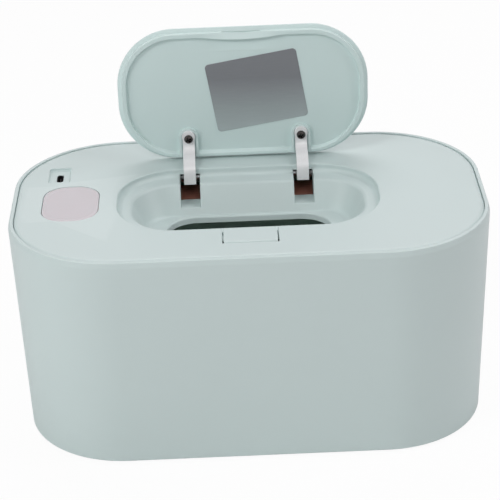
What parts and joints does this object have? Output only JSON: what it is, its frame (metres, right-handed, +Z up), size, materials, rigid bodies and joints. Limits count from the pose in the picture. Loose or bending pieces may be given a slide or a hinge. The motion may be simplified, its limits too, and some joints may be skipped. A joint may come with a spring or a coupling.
{
  "type": "baby wipe warmer",
  "caption": "Tabletop wipe warmer with a tapered rounded housing, a lift-off heated cover, a flip lid on gooseneck arms, a latch button and a push key.",
  "frame": {"origin": "on the floor, under the middle of the housing", "axes": "+X to the right as the user faces the latch button, +Y to the back where the lid hinges, +Z up"},
  "size_m": [0.24, 0.1464, 0.1851],
  "materials": {
    "mint_plastic": "satin moulded, pale mint",
    "mint_inner": "plain moulded, pale mint",
    "foot_rubber": "soft grey pads",
    "steel": "bright zinc",
    "bright_steel": "nickel-plated",
    "silicone": "translucent white",
    "aluminium_sheet": "mill",
    "heater_film": "amber film over etched tracks",
    "wire_sleeve": "soft sleeve",
    "black_plastic": "moulded black",
    "circuit_board": "green solder mask",
    "foil": "satin grey foil",
    "white_plastic": "glossy white",
    "key_window": "tinted, polished"
  },
  "bodies": {
    "housing": {"outer_shell": "mint_plastic", "inner_tub": "mint_inner", "base_plate": "mint_inner", "feet": "foot_rubber", "base_screws": "steel"},
    "cover": {"top_cover": "mint_plastic", "cover_underplate": "mint_inner", "cover_screws": "steel", "cover_gasket": "silicone", "heat_spreader": "aluminium_sheet", "heater_film": "heater_film", "heater_leads": "wire_sleeve", "temperature_sensor": "black_plastic", "control_board": "circuit_board", "board_parts": "black_plastic", "board_screws": "steel", "display_module": "black_plastic", "key_switch": "black_plastic", "socket_shell": "steel", "socket_tongue": "black_plastic", "hinge_pins": "steel", "torsion_springs": "steel", "latch_pin": "steel", "latch_spring": "steel"},
    "lid": {"lid": "mint_plastic", "label_plate": "foil", "hinge_arm_left": "white_plastic", "hinge_arm_right": "white_plastic", "lid_screws": "bright_steel"},
    "latch": {"latch_button": "mint_plastic"},
    "key": {"power_key": "key_window", "switch_plunger": "black_plastic"}
  },
  "joints": [
    {"name": "cover_lift", "type": "slide", "parent": "housing", "child": "cover", "axis": [0, 0, 1], "range_m": [0, 0.04]},
    {"name": "lid_hinge", "type": "hinge", "parent": "cover", "child": "lid", "pos_m": [0, 0.0403, 0.1064], "axis": [1, 0, 0], "range_deg": [0, 92.6], "stiffness_Nm_per_rad": 0.008, "springref_deg": -22.92, "deforming": ["torsion_springs"]},
    {"name": "latch_press", "type": "hinge", "parent": "cover", "child": "latch", "pos_m": [0, -0.043, 0.1015], "axis": [1, 0, 0], "range_deg": [0, 4.5], "stiffness_Nm_per_rad": 0.15, "springref_deg": -4.01, "deforming": ["latch_spring"]},
    {"name": "key_press", "type": "slide", "parent": "cover", "child": "key", "axis": [0, 0, -1], "range_m": [0, 0.0006], "stiffness_N_per_m": 2500, "springref_m": -0.0004}
  ]
}
